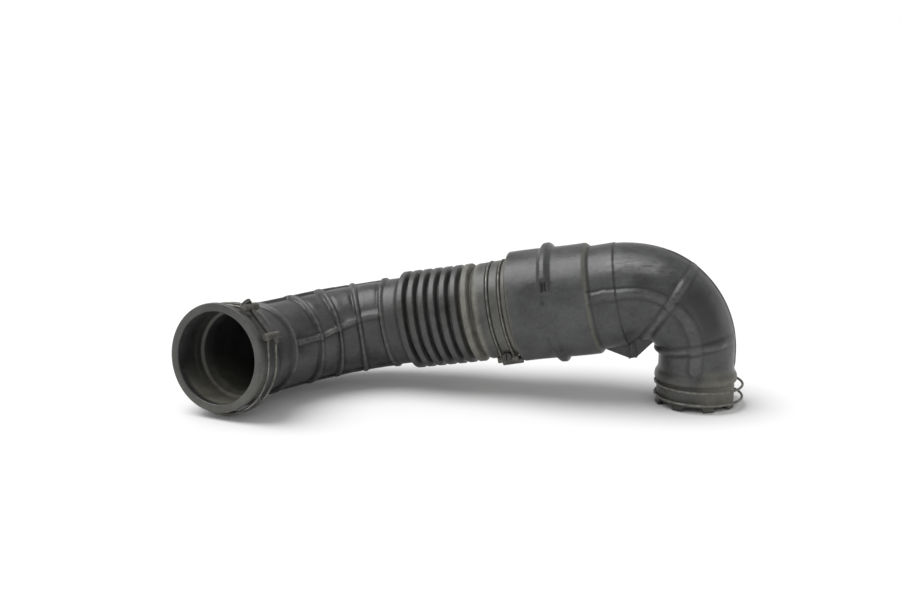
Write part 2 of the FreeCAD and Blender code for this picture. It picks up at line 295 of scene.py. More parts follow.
# a closed tube wall: outer line out, inner line back, turned round the route
def tubeWall(name, outer, inner, frameAt, relief, marks, angles):
    loop = np.vstack([outer, inner[::-1]])
    rows, turns = len(loop), len(angles)
    outside = np.concatenate([np.ones(len(outer)), np.zeros(len(inner))])[:, None]
    place = np.repeat(loop[:, 0:1], turns, axis=1)
    radius = np.repeat(loop[:, 1:2], turns, axis=1)
    turn = np.repeat(angles[None, :], rows, axis=0)
    shift, lift = relief(place, turn, radius, outside)
    bases = np.array([np.array(frameAt(p)) for p in loop[:, 0]])[:, None, :3]
    swing = np.radians(turn)[:, :, None]
    spoke = bases[..., 1] * np.cos(swing) + bases[..., 2] * np.sin(swing)
    points = bases[..., 3] + bases[..., 0] * shift[:, :, None] + spoke * (radius + lift)[:, :, None]
    index = np.arange(rows * turns).reshape(rows, turns)
    ahead = np.roll(index, -1, axis=0)
    faces = np.stack([ahead, np.roll(ahead, -1, axis=1), np.roll(index, -1, axis=1), index], axis=-1)
    mesh = bpy.data.meshes.new(name)
    mesh.from_pydata((points.reshape(-1, 3) * mm).tolist(), [], faces.reshape(-1, 4).tolist())
    mesh.polygons.foreach_set("use_smooth", [True] * len(mesh.polygons))
    for mark, values in marks(place, turn, radius + lift, outside).items():
        layer = mesh.attributes.new(mark, "FLOAT", "POINT")
        layer.data.foreach_set("value", np.clip(values, 0, 1).astype(np.float32).ravel())
    mesh.update()
    return mesh


def addPiece(name, mesh, material, node):
    piece = bpy.data.objects.new(name, mesh)
    bpy.context.scene.collection.objects.link(piece)
    mesh.materials.append(material)
    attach(piece, "root")
    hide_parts(node)
    print(name, len(mesh.polygons), "faces")


# bellows hose, measured from the elbow end of the run to the mouth
hose = {
    "wall": 2.8, "step": 1.1, "boreStep": 3.0, "boreSlope": 0.4,
    # joint cuff with two wire seats
    "start": 84.7, "cuffLength": 26.0, "cuffR": 38.2, "lipWidth": 3.2, "wireSpacing": 9.6,
    "seatR": 37.0, "seatWidth": 3.4, "seatSlope": 0.6,
    # folds, each dips between these shares of its half pitch
    "valley": 2.8, "valleyGap": 0.2, "folds": 7, "pitch": 8.7, "crestR": 39.3, "grooveR": 33.7,
    "foldDip": (0.44, 0.88), "foldRows": 18,
    # ribbed sweep, which arches a little above the route next to the folds
    "bandLength": 6.4, "bandRise": 2.2, "bandHeight": 1.4, "bandStep": 0.3, "tubeR": 33.4,
    "arch": 3.0, "archRise": (-0.6, 0.2), "archFall": (0.3, 0.95),
    "ringShares": (0.07, 0.27, 0.45, 0.63, 0.93), "ringLean": (0.0, 0.0, 4.0, 5.5, 3.0),
    "ringHeight": 3.0, "ringWidth": 4.4, "ribSoft": 2.0,
    "longTurns": (0, 90, 180, 270), "longHeight": 2.4, "longWidth": 4.2, "longEnd": 0.5,
    "longTwist": 13.5, "twistFade": (0.15, 0.68), "pillow": 1.0, "pillowEdge": (1.5, 8.0),
    # mouth with its bore and stop ring
    "mouthLength": 48.5, "flare": 9.0, "ridgeR": 39.6, "ridgeWidth": 4.0,
    "mouthSeatR": 38.0, "mouthSeatWidth": 17.0, "mouthSeatSlope": 0.8,
    "mouthLipR": 41.0, "mouthLipWidth": 5.0,
    "boreR": 34.5, "boreDepth": 28.0, "boreEdge": 0.6, "boreBevel": 0.5, "boreLap": 0.05,
    "stopBoreR": 32.7, "stopTaper": 9.0, "stopLength": 2.0, "stopHeight": 0.7,
    "round": {"edge": 0.8, "seat": 0.5, "seatEnd": 1.2, "cuffEnd": 2.5, "band": 1.5, "flare": 4.0,
              "tube": 2.0, "ridge": 1.2, "lipBack": 1.0, "lip": 1.4, "bore": 0.6, "stop": 0.4},
    # mesh angles to each side of a lengthwise rib
    "ribSide": (0, 1.0, 1.9, 2.7, 3.5, 4.4, 5.8, 8.5, 12, 16, 20, 24.5, 29, 34, 39.5, 45),
}
hose["cuffEnd"] = hose["start"] + hose["cuffLength"]
hose["firstCrest"] = hose["cuffEnd"] + hose["valley"] + hose["pitch"] / 2
hose["lastCrest"] = hose["firstCrest"] + (hose["folds"] - 1) * hose["pitch"]
hose["foldEnd"] = hose["lastCrest"] + hose["pitch"] / 2
hose["sweepStart"] = hose["foldEnd"] + hose["bandLength"]
hose["sweepLength"] = route["sweepR"] * math.radians(route["sweepDeg"])
hose["end"] = hose["sweepStart"] + hose["sweepLength"] + hose["mouthLength"]
hose["boreStart"] = hose["end"] - hose["boreDepth"]
hose["rings"] = [hose["sweepStart"] + share * hose["sweepLength"] for share in hose["ringShares"]]
sweepBase = along(runFrame, hose["sweepStart"]) @ Matrix.Rotation(math.radians(route["sweepRoll"]), 4, "X")


def sweepFrame(turn):
    x = route["sweepR"] * math.sin(turn)
    y = route["sweepR"] * (1 - math.cos(turn))
    return sweepBase @ Matrix.Translation((x, y, 0)) @ Matrix.Rotation(turn, 4, "Z")


mouthFrame = sweepFrame(math.radians(route["sweepDeg"]))


def sweepShare(place):
    return (place - hose["sweepStart"]) / hose["sweepLength"]


def hoseFrame(place):
    past = place - hose["sweepStart"]
    height = hose["arch"] * hump(hose["archRise"], hose["archFall"], sweepShare(place))
    arch = Matrix.Translation((0, 0, height))
    if past <= 0:
        return arch @ along(sweepBase, past)
    if past <= hose["sweepLength"]:
        return arch @ sweepFrame(past / route["sweepR"])
    return along(mouthFrame, past - hose["sweepLength"])


def foldLine(crestR, grooveR):
    line = []
    for i in range(hose["folds"]):
        crest = hose["firstCrest"] + i * hose["pitch"]
        for k in range(hose["foldRows"]):
            u = k / hose["foldRows"] - 0.5
            dip = smooth(*hose["foldDip"], abs(u) * 2)
            line.append((crest + u * hose["pitch"], crestR - (crestR - grooveR) * dip))
    return np.array(line)


def hoseOuter():
    h = hose
    r = h["round"]
    seat = h["start"] + h["lipWidth"]
    cuff = [(h["start"], h["seatR"] - h["wall"], 0), (h["start"], h["cuffR"], r["edge"])]
    for start in (seat, seat + h["wireSpacing"]):
        end = start + h["seatWidth"]
        cuff += [(start, h["cuffR"], r["edge"]), (start + h["seatSlope"], h["seatR"], r["seat"])]
        cuff += [(end - h["seatSlope"], h["seatR"], r["seat"]), (end, h["cuffR"], r["seatEnd"])]
    cuff += [(h["cuffEnd"], h["cuffR"], r["cuffEnd"])]
    cuff += [(h["cuffEnd"] + h["valley"] - h["valleyGap"], h["grooveR"], 0)]
    bandR = h["tubeR"] + h["bandHeight"]
    bandEnd = h["rings"][0]
    lip = h["end"] - h["mouthLipWidth"]
    seat = lip - h["mouthSeatWidth"]
    crown = seat - h["ridgeWidth"]
    sweep = [(h["foldEnd"], h["grooveR"], 0), (h["foldEnd"] + h["bandRise"], bandR, r["band"])]
    sweep += [(bandEnd, bandR, 0), (bandEnd + h["bandStep"], h["tubeR"], 0)]
    sweep += [(crown - h["flare"], h["tubeR"], r["flare"]), (crown, h["ridgeR"], r["tube"])]
    sweep += [(seat, h["ridgeR"], r["ridge"]), (seat + h["mouthSeatSlope"], h["mouthSeatR"], r["edge"])]
    sweep += [(lip - h["mouthSeatSlope"], h["mouthSeatR"], r["edge"]), (lip, h["mouthLipR"], r["lipBack"])]
    sweep += [(h["end"], h["mouthLipR"], r["lip"]), (h["end"], h["boreR"] + h["boreEdge"], 0)]
    folds = foldLine(h["crestR"], h["grooveR"])
    return np.vstack([roundedLine(cuff, h["step"]), folds, roundedLine(sweep, h["step"])])


def hoseInner():
    h = hose
    r = h["round"]
    slope = h["boreSlope"]
    cuffEnd = h["cuffEnd"] - h["wall"]
    cuffBore = h["seatR"] - h["wall"]
    foldBore = h["grooveR"] - h["wall"]
    tubeBore = h["tubeR"] - h["wall"]
    stop = h["boreStart"] - h["stopLength"]
    stopR = h["stopBoreR"] - h["stopHeight"]
    cuff = [(h["start"] + slope, cuffBore, 0), (cuffEnd, cuffBore, r["bore"]), (cuffEnd + slope, foldBore, 0)]
    sweep = [(h["foldEnd"], foldBore, 0), (h["sweepStart"], tubeBore, r["tube"])]
    sweep += [(h["boreStart"] - h["stopTaper"], tubeBore, r["tube"]), (stop, h["stopBoreR"], r["bore"])]
    sweep += [(stop + slope, stopR, r["stop"]), (h["boreStart"] - slope, stopR, r["stop"])]
    sweep += [(h["boreStart"], h["boreR"], r["bore"]), (h["end"] - h["boreEdge"], h["boreR"], r["bore"])]
    sweep += [(h["end"] - h["boreLap"], h["boreR"] + h["boreBevel"], 0)]
    folds = foldLine(h["crestR"] - h["wall"], foldBore)
    return np.vstack([roundedLine(cuff, h["boreStep"]), folds, roundedLine(sweep, h["boreStep"])])


# distances from the ring ribs, which lean towards the mouth at the top
def ringGaps(place, turn):
    rise = np.clip(turnSine(turn), 0, 1)
    return [place - middle - lean * rise for middle, lean in zip(hose["rings"], hose["ringLean"])]


# the lengthwise ribs turn upwards near the folds
def longTwist(place):
    return hose["longTwist"] * (1 - smooth(*hose["twistFade"], sweepShare(place)))


def longGaps(place, turn):
    straight = turn - longTwist(place)
    return [np.radians(turnGap(straight, middle)) * hose["tubeR"] for middle in hose["longTurns"]]


def hoseRelief(place, turn, radius, outside):
    h = hose
    first, last = h["rings"][0], h["rings"][-1]
    end = h["longEnd"]
    ribbed = hump((first - end, first + end), (last - end, last + end), place)
    offRings = ringGaps(place, turn)
    rings = h["ringHeight"] * highest(ridge(gap, h["ringWidth"], h["ribSoft"]) for gap in offRings)
    longs = highest(ridge(gap, h["longWidth"], h["ribSoft"]) for gap in longGaps(place, turn))
    longs = h["longHeight"] * longs * ribbed
    # panels stand a little proud between the ribs
    swell = h["pillow"] * np.abs(turnSine(2 * (turn - longTwist(place)))) * ribbed
    for gap in offRings:
        swell = swell * smooth(*h["pillowEdge"], np.abs(gap))
    overBand = (place <= first) * (place > h["foldEnd"]) * h["bandHeight"]
    lift = np.maximum(np.maximum(rings, longs) - overBand, swell)
    return np.zeros_like(place), lift * outside


# painted marks, a strip is its shift, width and softness
hose["paint"] = {
    "underside": (0.2, -0.9),  # sine of the turn where the underside starts and is full
    "foldDust": (-3.0, 15.0, 5.0), "foldDustLeast": 0.85,  # on the fold next to the joint
    "jointFade": 6.0, "jointDust": 0.42, "jointDustLeast": 0.6,
    "cuffEdge": (3.0, 8.0, 4.0), "cuffEdgeDust": 0.4,
    "foldSpan": (0.0, 66.0, 14.0), "foldHaze": 0.06,
    "lipFade": (-26.0, -4.0), "lipDust": 0.14, "lipUnderDust": 0.2,
    "stopStrip": (-1.0, 2.6, 1.2), "rubStrip": (7.0, 1.6, 1.4), "rubShare": 0.8, "stopDust": 0.6,
    "boreFloorRise": (-80.0, -40.0), "boreFloorFall": (-7.0, -3.0),  # dust and painted light on the floor of the bore, from the mouth
    # painted highlight along the rib tops of the sweep
    "ribTop": (1.0, 2.1), "ribRise": (0.02, 0.05), "ribFall": (0.95, 1.0), "ribHighlight": 0.8,
    # painted shade in the grooves, at the feet of the ribs and deep in the bore
    "grooveFade": (-1.2, 1.0), "grooveShade": 0.4,
    "cornerStrip": (1.0, 1.6, 1.2), "cornerSpan": (0.5, 0.86, 0.02), "cornerShade": 0.95,
    "boreFade": (-9.0, -3.0), "boreShade": 0.35,
}


def hoseMarks(place, turn, radius, outside):
    h = hose
    p = h["paint"]
    inside = 1 - outside
    share = sweepShare(place)
    fromEnd = place - h["end"]
    under = smooth(*p["underside"], turnSine(turn))
    lastFold = strip(place - h["firstCrest"], p["foldDust"]) * atLeast(p["foldDustLeast"], under)
    joint = smooth(h["cuffEnd"] + p["jointFade"], h["start"] + p["jointFade"], place) * p["jointDust"]
    joint = joint + strip(place - h["start"], p["cuffEdge"]) * p["cuffEdgeDust"]
    joint = joint * atLeast(p["jointDustLeast"], under)
    folds = strip(place - (h["firstCrest"] + h["lastCrest"]) / 2, p["foldSpan"])
    lip = smooth(*p["lipFade"], fromEnd) * (p["lipDust"] + p["lipUnderDust"] * under)
    dust = np.maximum(lastFold, joint) + lip + folds * p["foldHaze"]
    # rings where a spigot has rubbed, and the floor of the bore lightened with dust and painted light
    rub = strip(place - h["boreStart"], p["rubStrip"]) * p["rubShare"]
    rub = np.maximum(rub, strip(place - h["boreStart"], p["stopStrip"]))
    boreFloorDustAndLight = hump(p["boreFloorRise"], p["boreFloorFall"], fromEnd) * under
    dust = dust * outside + (rub * p["stopDust"] + boreFloorDustAndLight) * inside
    lowTop, highTop = p["ribTop"]
    # painted highlight on the rib tops
    litRibTops = smooth(h["tubeR"] + lowTop, h["tubeR"] + highTop, radius) * hump(p["ribRise"], p["ribFall"], share)
    # painted shade in the grooves, along the feet of the ribs and deep in the bore
    crestSide, grooveSide = p["grooveFade"]
    groove = smooth(h["crestR"] + crestSide, h["grooveR"] + grooveSide, radius) * folds
    feet = [strip(np.abs(gap) - h["ringWidth"] / 2, p["cornerStrip"]) for gap in ringGaps(place, turn)]
    span = strip(share, p["cornerSpan"])
    feet += [strip(gap - h["longWidth"] / 2, p["cornerStrip"]) * span for gap in longGaps(place, turn)]
    grime = (groove * p["grooveShade"] + highest(feet) * p["cornerShade"]) * outside
    bore = (1 - smooth(*p["boreFade"], fromEnd)) * (1 - np.maximum(rub, boreFloorDustAndLight)) * p["boreShade"]
    return {"dust": dust, "scuff": litRibTops * p["ribHighlight"] * outside, "grime": grime + bore * inside}


def hoseAngles():
    side = np.array(hose["ribSide"])
    around = [middle + np.concatenate([-side[1:-1], side]) for middle in hose["longTurns"]]
    return np.sort(np.concatenate(around) % 360)


hoseMesh = tubeWall("bellowsHose", hoseOuter(), hoseInner(), hoseFrame, hoseRelief, hoseMarks, hoseAngles())
addPiece("bellowsHose", hoseMesh, hoseRubber, "bellows_hose")

# elbow duct, measured from the outlet rim up and over to the spigot
duct = {
    "wall": 3.0, "step": 1.1, "boreStep": 4.0, "lap": 0.2,
    # outlet cuff and the lugs of its rim
    "outletBoreR": 26.5, "outletBoreDepth": 28.0, "rimBevel": 0.3, "seatR": 29.6, "seatLength": 20.0,
    "beadR": 31.4, "beadWidth": 5.0, "beadSlope": 1.2, "beadCrown": 1.0, "beadFall": 3.0,
    "lugs": 8, "lugHeight": 3.4, "lugWidth": 9.0, "lugSoft": 1.0, "lugR": 31.0,
    "lugRoot": (0.2, 1.5), "lugDrop": (0.1, 0.6), "lugSkin": 0.6,
    # tapered bend with two ring ribs, a thin seam outside and a hollow panel between the rings
    "neckR": 28.8, "taper": 1.25, "bendRows": 84, "boreRows": 24, "sag": 2.4, "sagRise": (0.55, 1.0),
    "ringAngles": (12.0, 58.0), "ringHeight": 2.4, "ringWidth": 4.8, "ringSoft": 4.4,
    "ringStretch": (0.3, 2.0), "ringFaint": 0.75, "faintRise": (38, 58), "faintFall": (122, 142),
    "seam": (90.0, 2.6, 1.4), "seamHeight": 0.8, "seamStart": (28, 34), "seamEnd": (0.9, 1.0),
    "panel": (40.0, 40.0, 26.0), "panelDip": 2.2, "panelEdge": (3, 12),
    # moulding line: a shelf on the tube, a rib over the bend, a broad tongue above the outlet
    "lineHeight": 2.4, "lineWidth": 5.2, "lineSoft": 4.6, "lineRise": 24.0, "lineFall": 12.5,
    "lineTip": 25.5, "tipWiden": (-2.0, 7.0), "tipRise": (-1, 2), "lineEnd": 2.0,
    "tongueWider": 2.6, "tongueBlend": 4.0, "shelfWider": 1.4, "shelfLower": 0.35, "shelfBlend": 2.0,
    "wobble": 0.9, "wobblePlace": 9.0, "wobbleLength": 2.5,
    # tube, necked in on top behind the collar
    "tubeR": 40.4, "tubeLength": 22.7, "edgeStep": 0.6, "edgeLength": 0.4,
    "neckDip": 3.0, "neckRise": (0.68, 0.98), "neckEnd": (-5, -1), "neckTop": (0.1, 0.95),
    # collar with an interrupted ring rib that has a hollow upper end
    "collarR": 43.6, "collarLength": 60.8, "chamfer": 3.4, "collarSlope": 1.0,
    "ribHeight": 3.7, "ribWidth": 7.0, "ribSoft": 3.6, "ribPlace": 30.1, "gapTop": 21.5, "gapBottom": -21.0,
    "gapSoft": 1.2, "ribLow": (-55.0, 50.0, 30.0), "ribLowShare": 0.5,
    "pocketDepth": 3.4, "pocketAcross": (0.0, 3.8, 1.4),
    "pocketLong": 11.0, "pocketSoft": 2.0, "pocketWall": 0.5,
    "spigotEnd": 105.9, "spigotR": 34.1, "spigotWall": 2.6, "spigotSlope": 0.5,
    "round": {"edge": 0.8, "bead": 1.4, "beadBack": 1.8, "neck": 2.5, "step": 0.3, "chamfer": 1.5,
              "collar": 1.2, "collarEnd": 0.7, "spigotRoot": 0.5, "spigotTip": 0.6, "bore": 1.0},
    # mesh angles, fine at the moulding line and the rib's upper end
    "fineTurns": (-10.0, 30.0, 1.0), "coarseTurns": (30.0, 350.0, 2.0),
}
duct["elbowLength"] = route["elbowR"] * math.radians(elbowTurn)
duct["runStart"] = route["outletRise"] + duct["elbowLength"]
duct["collarStart"] = duct["runStart"] + duct["tubeLength"]
duct["collarEnd"] = duct["collarStart"] + duct["collarLength"]
duct["rib"] = duct["collarStart"] + duct["ribPlace"]
duct["rings"] = [route["outletRise"] + math.radians(angle) * route["elbowR"] for angle in duct["ringAngles"]]


def ductFrame(place):
    past = place - route["outletRise"]
    if past <= 0:
        return along(elbowFrame(0), past)
    collar = (duct["collarStart"], duct["collarEnd"])
    drop = duct["sag"] * smooth(*duct["sagRise"], past / duct["elbowLength"]) * (1 - smooth(*collar, place))
    sag = Matrix.Translation((0, 0, -drop))
    if past <= duct["elbowLength"]:
        return sag @ elbowFrame(math.degrees(past / route["elbowR"]))
    return sag @ along(runFrame, past - duct["elbowLength"])


def bendCorners(lowR, highR, rows):
    shares = [i / rows for i in range(1, rows)]
    places = [route["outletRise"] + t * duct["elbowLength"] for t in shares]
    return [(x, lowR + (highR - lowR) * t ** duct["taper"], 0) for x, t in zip(places, shares)]


def ductOuter():
    d = duct
    r = d["round"]
    run = d["runStart"]
    bendR = d["tubeR"] - d["edgeStep"]
    beadEnd = d["seatLength"] + d["beadWidth"]
    tip = run + d["spigotEnd"]
    corners = [(d["lugHeight"], d["outletBoreR"] + d["rimBevel"], 0), (d["lugHeight"], d["seatR"], r["edge"])]
    corners += [(d["seatLength"] - d["beadSlope"], d["seatR"], r["edge"])]
    corners += [(d["seatLength"], d["beadR"], r["bead"])]
    corners += [(beadEnd - d["beadCrown"], d["beadR"], r["beadBack"])]
    corners += [(beadEnd + d["beadFall"], d["neckR"], r["neck"]), (route["outletRise"], d["neckR"], 0)]
    corners += bendCorners(d["neckR"], bendR, d["bendRows"])
    corners += [(run, bendR, 0), (run + d["edgeLength"], d["tubeR"], r["step"])]
    corners += [(d["collarStart"] - d["chamfer"], d["tubeR"], r["chamfer"])]
    corners += [(d["collarStart"], d["collarR"], r["collar"]), (d["collarEnd"], d["collarR"], r["collarEnd"])]
    corners += [(d["collarEnd"], d["spigotR"], r["spigotRoot"]), (tip, d["spigotR"], r["spigotTip"])]
    corners += [(tip, d["spigotR"] - d["spigotWall"] + d["rimBevel"], 0)]
    return roundedLine(corners, d["step"])


def ductInner():
    d = duct
    r = d["round"]
    run = d["runStart"]
    collarEnd = d["collarEnd"] - d["wall"]
    neckBore = d["neckR"] - d["wall"]
    tubeBore = d["tubeR"] - d["wall"]
    bendBore = tubeBore - d["edgeStep"]
    collarBore = d["collarR"] - d["wall"]
    spigotBore = d["spigotR"] - d["spigotWall"]
    corners = [(d["lugHeight"] + d["lap"], d["outletBoreR"], 0)]
    corners += [(d["outletBoreDepth"], d["outletBoreR"], r["step"]), (route["outletRise"], neckBore, 0)]
    corners += bendCorners(neckBore, bendBore, d["boreRows"])
    corners += [(run, bendBore, 0), (d["collarStart"], tubeBore, r["bore"])]
    corners += [(d["collarStart"] + d["collarSlope"], collarBore, r["bore"])]
    corners += [(collarEnd, collarBore, r["bore"]), (collarEnd + d["spigotSlope"], spigotBore, r["bore"])]
    corners += [(run + d["spigotEnd"] - d["lap"], spigotBore, 0)]
    return roundedLine(corners, d["boreStep"])


def bendShare(place):
    return np.clip((place - route["outletRise"]) / duct["elbowLength"], 0, 1)


# degrees off the moulding line, which climbs round the tube along the bend
def lineTurn(place, turn):
    share = bendShare(place)
    return (turn - (duct["lineRise"] - duct["lineFall"] * share) * share + 180) % 360 - 180


# distance from the moulding line, its width, where it runs and where it is the tube's shelf
def mouldingLine(place, turn, radius):
    d = duct
    run = d["runStart"]
    fromTip = place - d["lineTip"]
    cross = d["rings"][1]
    tongue = 1 - smooth(cross - d["tongueBlend"], cross + d["tongueBlend"], place)
    shelf = smooth(run - d["shelfBlend"], run + d["shelfBlend"], place)
    wobble = shelf * d["wobble"] * np.exp(-((place - run - d["wobblePlace"]) / d["wobbleLength"]) ** 2)
    width = d["lineWidth"] + d["tongueWider"] * tongue + d["shelfWider"] * shelf
    width = width * smooth(*d["tipWiden"], fromTip)
    ends = 1 - smooth(d["collarStart"] - d["lineEnd"], d["collarStart"], place)
    span = smooth(*d["tipRise"], fromTip) * ends
    return np.radians(lineTurn(place, turn)) * radius - wobble, width, span, shelf


# distance from each ring rib, true to the stretch of the bend
def bendGaps(place, turn, radius):
    stretch = np.clip(1 + radius * turnSine(turn) / route["elbowR"], *duct["ringStretch"])
    return [(place - middle) * stretch for middle in duct["rings"]]


# rings fade towards the outside of the bend, where a thin seam runs
def bendRelief(place, turn, radius):
    d = duct
    strong = 1 - d["ringFaint"] * hump(d["faintRise"], d["faintFall"], turn)
    rings = highest(ridge(gap, d["ringWidth"], d["ringSoft"]) for gap in bendGaps(place, turn, radius))
    middle, width, soft = d["seam"]
    seam = ridge(np.radians(turn - middle) * radius, width, soft)
    seam = seam * smooth(*d["seamStart"], place) * (1 - smooth(*d["seamEnd"], bendShare(place)))
    return np.maximum(d["ringHeight"] * rings * strong, d["seamHeight"] * seam)


def panelHollow(place, turn):
    low, high = duct["rings"]
    near, far = duct["panelEdge"]
    between = hump((low + near, low + far), (high - far, high - near), place)
    return between * strip(lineTurn(place, turn), duct["panel"])


def neckHollow(place, turn):
    d = duct
    behind = smooth(*d["neckRise"], bendShare(place)) * (1 - smooth(*d["neckEnd"], place - d["collarStart"]))
    return behind * smooth(*d["neckTop"], turnSine(turn))


def collarRib(place, turn):
    d = duct
    window = turnGap(turn, (d["gapTop"] + d["gapBottom"]) / 2)
    half = (d["gapTop"] - d["gapBottom"]) / 2
    low = 1 - d["ribLowShare"] * strip(lineTurn(place, turn), d["ribLow"])
    beyondGap = smooth(half - d["gapSoft"], half + d["gapSoft"], window)
    return ridge(place - d["rib"], d["ribWidth"], d["ribSoft"]) * beyondGap * low


def ribPocket(place, turn):
    d = duct
    lengthwise = turn - d["gapTop"] - d["pocketWall"] - d["pocketLong"] / 2
    return strip(place - d["rib"], d["pocketAcross"]) * ridge(lengthwise, d["pocketLong"], d["pocketSoft"])


def rimLugs(turn):
    pitch = 360.0 / duct["lugs"]
    gap = np.radians(turnGap(turn % pitch, pitch / 2)) * duct["seatR"]
    return ridge(gap, duct["lugWidth"], duct["lugSoft"])


def ductRelief(place, turn, radius, outside):
    d = duct
    gap, width, span, shelf = mouldingLine(place, turn, radius)
    line = ridge(gap, width, d["lineSoft"]) * span * (1 - d["shelfLower"] * shelf)
    lift = np.maximum(bendRelief(place, turn, radius), d["lineHeight"] * line)
    lift = lift - d["neckDip"] * neckHollow(place, turn)
    lift = lift - d["panelDip"] * panelHollow(place, turn) * (1 - line)
    lift = np.maximum(lift, d["ribHeight"] * collarRib(place, turn))
    lift = lift - d["pocketDepth"] * ribPocket(place, turn)
    lug = rimLugs(turn)
    fromRim = place - d["lugHeight"]
    proud = lug * (1 - smooth(*d["lugRoot"], fromRim)) * (radius > d["seatR"] - d["lugSkin"])
    lift = lift + (d["lugR"] - d["seatR"]) * proud
    shift = -d["lugHeight"] * lug * (1 - smooth(*d["lugDrop"], fromRim))
    return shift, lift * outside


# painted marks, a strip is its shift, width and softness
duct["paint"] = {
    # cosine and sine of the turn where the front and the outside of the bend start and are full
    "front": (-0.2, 0.9), "outer": (-0.1, 0.7),
    "haze": 0.03, "collarEdge": (-1.0, 2.0, 2.4), "collarEdgeDust": 0.55,
    "jointEdge": (0.0, 2.0, 3.0), "jointDust": 0.4,
    "cuffFade": (18, 28), "cuffDust": 0.8, "cuffDustLeast": 0.25,
    "creep": (26.0, 10.0, 4.0), "creepDust": 0.3, "creepGap": (5, 15),  # dust creeps up beside the tongue
    "scrapePlace": (-10.0, 34.0, 18.0), "scrapeTurn": (47.0, 18.0, 18.0),
    # painted highlight on the rib tops of the bend and tube
    "ribTop": (0.9, 2.2), "ribHighlight": 0.28, "ribStart": 30.0, "ribEnd": 7.0,
    # painted shade at the step after the bend and at the foot of the collar's chamfer
    "edgeStrip": (0.2, 1.2, 0.8), "chamferStrip": (0.0, 1.6, 1.4), "edgeShade": 0.8,
    # darker band along the outlet rim, less on the outside of the bend
    "lugFade": (4.0, 6.0), "rimDarkening": 0.8, "lugOuter": 0.5,
    "smudgePlace": (2.5, 3.5, 2.0), "smudgeTurn": (12.0, 5.0, 4.0), "smudge": 0.9,
    # painted shade at the feet of the ring ribs and of the moulding line, lighter by the tongue
    "ringFoot": (1.6, 1.9, 2.0), "lineFoot": (1.8, 1.9, 2.2), "footShade": 0.85,
    "tongueFoot": 0.45, "footBlend": 3.0,
    # painted shade in the hollow panel between the rings
    "panelPlace": (0.0, 30.0, 12.0), "panelTurn": (29.0, 32.0, 18.0), "panelShade": 0.9,
}


def ductDust(place, turn):
    p = duct["paint"]
    outer = smooth(*p["outer"], turnSine(turn))
    besideTongue = smooth(*p["creepGap"], np.abs(lineTurn(place, turn)))
    cuff = (1 - smooth(*p["cuffFade"], place)) * p["cuffDust"]
    cuff = cuff + strip(place, p["creep"]) * besideTongue * p["creepDust"]
    dust = strip(place - duct["collarStart"], p["collarEdge"]) * p["collarEdgeDust"]
    dust = dust + strip(place - duct["collarEnd"], p["jointEdge"]) * p["jointDust"]
    return dust + cuff * atLeast(p["cuffDustLeast"], outer) + p["haze"]


# scrapes, and a painted highlight on the rib tops, on the front of the duct
def ductScuffAndHighlight(place, turn, radius):
    d = duct
    p = d["paint"]
    front = smooth(*p["front"], np.cos(np.radians(turn)))
    scrape = strip(place - d["runStart"], p["scrapePlace"]) * strip(turn, p["scrapeTurn"])
    skinR = d["neckR"] + (d["tubeR"] - d["neckR"]) * bendShare(place) ** d["taper"]
    ribbed = (place < d["collarStart"] - p["ribEnd"]) * (place > p["ribStart"])
    return (scrape + smooth(*p["ribTop"], radius - skinR) * p["ribHighlight"] * ribbed) * front


# painted shade at the steps, rib feet, rib pocket and hollow panel, with a smudge and a darker band at the
# outlet rim
def ductGrimeAndShade(place, turn, radius):
    d = duct
    p = d["paint"]
    outer = smooth(*p["outer"], turnSine(turn))
    chamfer = d["collarStart"] - d["chamfer"]
    edges = strip(place - d["runStart"], p["edgeStrip"]) + strip(place - chamfer, p["chamferStrip"])
    lugs = (1 - smooth(*p["lugFade"], place)) * p["rimDarkening"] * (1 - p["lugOuter"] * outer)
    smudge = strip(place - d["rib"], p["smudgePlace"]) * strip(turn, p["smudgeTurn"])
    feet = [strip(np.abs(gap) - d["ringWidth"] / 2, p["ringFoot"]) for gap in bendGaps(place, turn, radius)]
    gap, width, span = mouldingLine(place, turn, radius)[:3]
    cross = d["rings"][1]
    clear = atLeast(p["tongueFoot"], smooth(cross - p["footBlend"], cross + p["footBlend"], place))
    feet += [strip(np.abs(gap) - width / 2, p["lineFoot"]) * span * clear]
    panel = strip(place - sum(d["rings"]) / 2, p["panelPlace"]) * strip(lineTurn(place, turn), p["panelTurn"])
    grime = edges * p["edgeShade"] + lugs + ribPocket(place, turn) + smudge * p["smudge"]
    return grime + highest(feet) * p["footShade"] + panel * p["panelShade"]


def ductMarks(place, turn, radius, outside):
    marks = {"dust": ductDust(place, turn), "scuff": ductScuffAndHighlight(place, turn, radius)}
    marks["grime"] = ductGrimeAndShade(place, turn, radius)
    return {name: values * outside for name, values in marks.items()}


def ductAngles():
    return np.sort(np.concatenate([np.arange(*duct["fineTurns"]), np.arange(*duct["coarseTurns"])]) % 360)


# web under the tube: (along, height) outline and two upright ridges on each cheek
keel = {"depth": 13.0, "length": 38.0, "width": 8.0, "overlap": 4.0, "tipShare": 0.45,
        "ridgeWidth": 2.0, "ridgeHeight": 1.2, "ridgePitch": 5.0, "rounding": 0.7, "roundSteps": 2}


def prism(bm, outline, halfWidth):
    rings = []
    for side in (-halfWidth, halfWidth):
        rings.append([bm.verts.new(runFrame @ Vector((x, side, z)) * mm) for x, z in outline])
    bm.faces.new(rings[0])
    bm.faces.new(rings[1][::-1])
    for i in range(len(outline)):
        n = (i + 1) % len(outline)
        bm.faces.new([rings[0][i], rings[1][i], rings[1][n], rings[0][n]])


